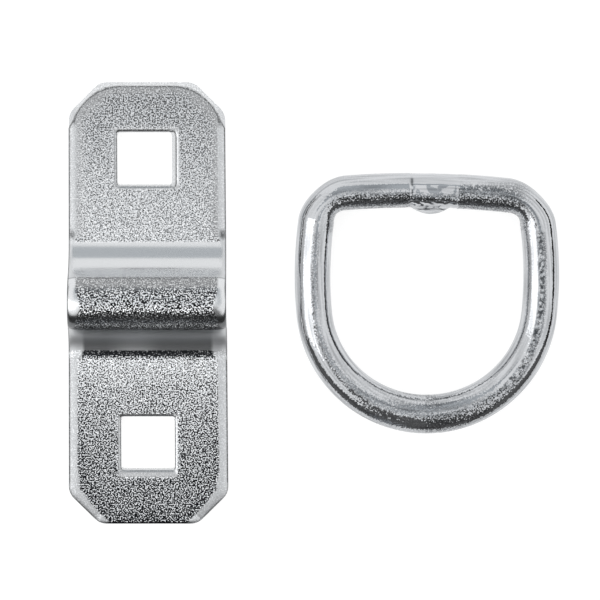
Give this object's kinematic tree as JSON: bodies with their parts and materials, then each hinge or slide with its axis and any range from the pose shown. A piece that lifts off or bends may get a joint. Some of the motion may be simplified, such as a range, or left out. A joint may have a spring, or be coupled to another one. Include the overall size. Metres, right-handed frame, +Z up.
{
  "type": "lashing ring",
  "caption": "Pressed steel saddle plate with square bolt holes, and the loose welded D ring that it holds down, laid side by side.",
  "frame": {"origin": "middle of the footprint of both pieces as they lie, on the surface under them", "axes": "+X from the saddle plate to the D ring, +Y along the plate towards the end nearer the ring's straight bar, +Z up"},
  "size_m": [0.0826, 0.075, 0.0085],
  "materials": {
    "zinc_plated_sheet": "bright zinc plate over rolled sheet, finely speckled flats and burnished bends",
    "zinc_plated_wire": "bright zinc plate over drawn round wire"
  },
  "bodies": {
    "root": {"saddle_plate": "zinc_plated_sheet", "d_ring": "zinc_plated_wire"}
  },
  "joints": []
}
